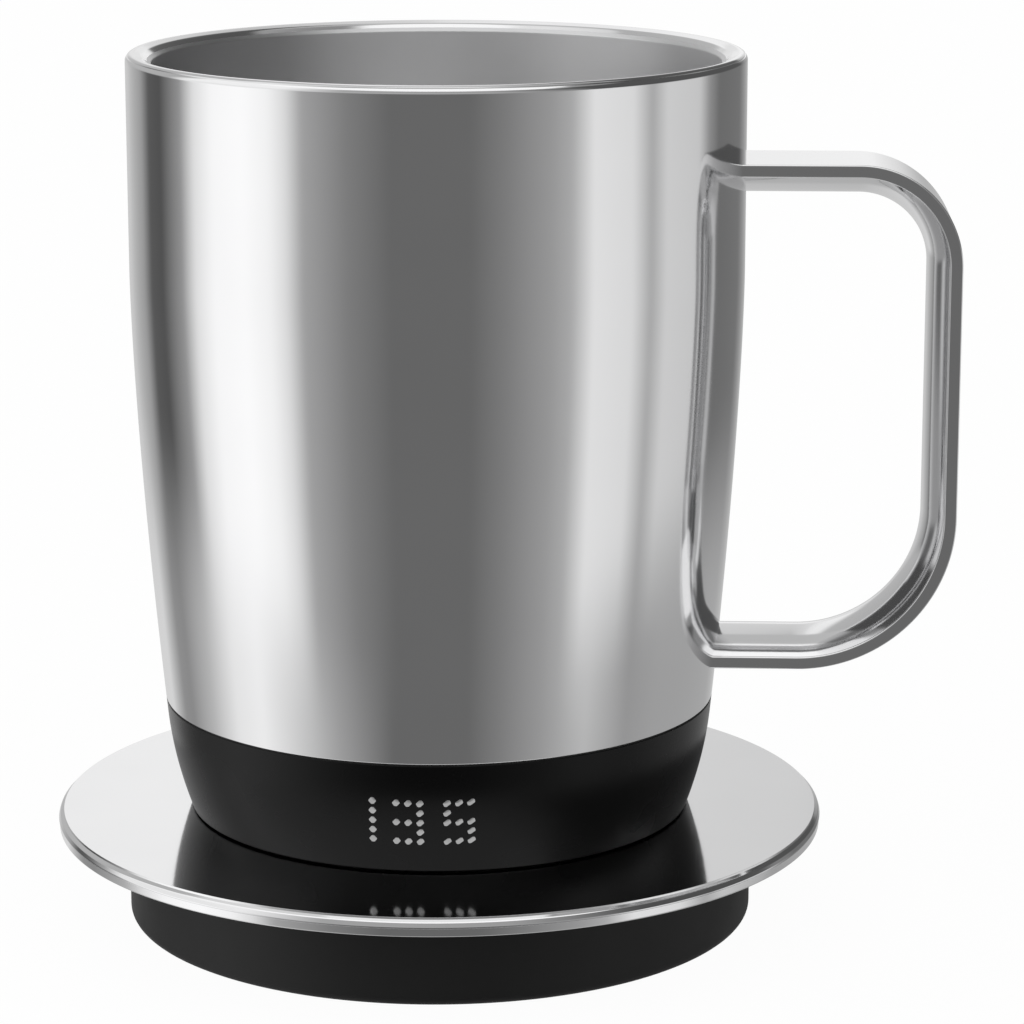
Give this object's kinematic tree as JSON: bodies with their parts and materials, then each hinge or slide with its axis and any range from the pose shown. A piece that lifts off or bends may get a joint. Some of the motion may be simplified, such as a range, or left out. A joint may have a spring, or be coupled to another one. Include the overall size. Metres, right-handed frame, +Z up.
{
  "type": "self heating mug",
  "caption": "Double-walled steel mug with a D-shaped handle and a heated, battery-powered base, standing on a round charging coaster it lifts off.",
  "frame": {"origin": "middle of the underside of the coaster's foot pad, which the whole object stands on", "axes": "+Z up along the mug's axis, +X towards the handle, -Y towards the lit digits"},
  "size_m": [0.1335, 0.1146, 0.13],
  "materials": {
    "polished_steel": "mirror-polished stainless steel",
    "cup_steel": "satin stainless steel inside the cup",
    "mug_plastic": "satin black plastic",
    "coaster_plastic": "fine-textured matt black plastic",
    "rubber": "matt black silicone rubber",
    "lit_dots": "translucent light guide, softly lit white",
    "circuit_board": "green solder mask",
    "cell_wrap": "blue shrink wrap",
    "fastener_steel": "plain steel",
    "insulation_felt": "pressed mineral fibre felt",
    "heater_ceramic": "unglazed alumina",
    "sensor_copper": "plain copper",
    "contact_gold": "gold-plated contact"
  },
  "bodies": {
    "coaster": {"top_plate": "polished_steel", "plate_gasket": "rubber", "coaster_base": "coaster_plastic", "foot_pad": "rubber", "coaster_board": "circuit_board", "contact_block": "mug_plastic", "power_inlet": "coaster_plastic", "pin_barrel_inner": "contact_gold", "pin_barrel_outer": "contact_gold", "pin_spring_inner": "fastener_steel", "pin_spring_outer": "fastener_steel", "coaster_screw_1": "fastener_steel", "coaster_screw_2": "fastener_steel", "coaster_screw_3": "fastener_steel"},
    "mug": {"outer_shell": "polished_steel", "inner_cup": "cup_steel", "handle_outer_band": "polished_steel", "handle_inner_grip": "polished_steel", "base_housing": "mug_plastic", "shell_seal": "rubber", "display_light_guide": "lit_dots", "display_board": "circuit_board", "main_board": "circuit_board", "tact_switch": "coaster_plastic", "battery_cradle": "coaster_plastic", "battery_cell_front": "cell_wrap", "battery_cell_rear": "cell_wrap", "sensor_clip": "fastener_steel", "insulation_disc": "insulation_felt", "heater_disc": "heater_ceramic", "temperature_sensor": "sensor_copper", "bottom_cover": "mug_plastic", "bottom_seal": "rubber", "contact_ring_inner": "contact_gold", "contact_ring_outer": "contact_gold", "foot_ring": "rubber", "cover_screw_1": "fastener_steel", "cover_screw_2": "fastener_steel", "cover_screw_3": "fastener_steel"},
    "power_button": {"power_button": "coaster_plastic"},
    "charge_pin_inner": {"charge_pin_inner": "contact_gold"},
    "charge_pin_outer": {"charge_pin_outer": "contact_gold"}
  },
  "joints": [
    {"name": "mug_lift", "type": "slide", "parent": "coaster", "child": "mug", "axis": [0, 0, 1], "range_m": [0, 0.08]},
    {"name": "power_button_press", "type": "slide", "parent": "mug", "child": "power_button", "axis": [0, 0, 1], "range_m": [0, 0.0004], "stiffness_N_per_m": 2500},
    {"name": "charge_pin_inner_press", "type": "slide", "parent": "coaster", "child": "charge_pin_inner", "axis": [0, 0, 1], "range_m": [-0.0012, 0], "stiffness_N_per_m": 600, "deforming": ["pin_spring_inner"]},
    {"name": "charge_pin_outer_press", "type": "slide", "parent": "coaster", "child": "charge_pin_outer", "axis": [0, 0, 1], "range_m": [-0.0012, 0], "stiffness_N_per_m": 600, "deforming": ["pin_spring_outer"]}
  ]
}
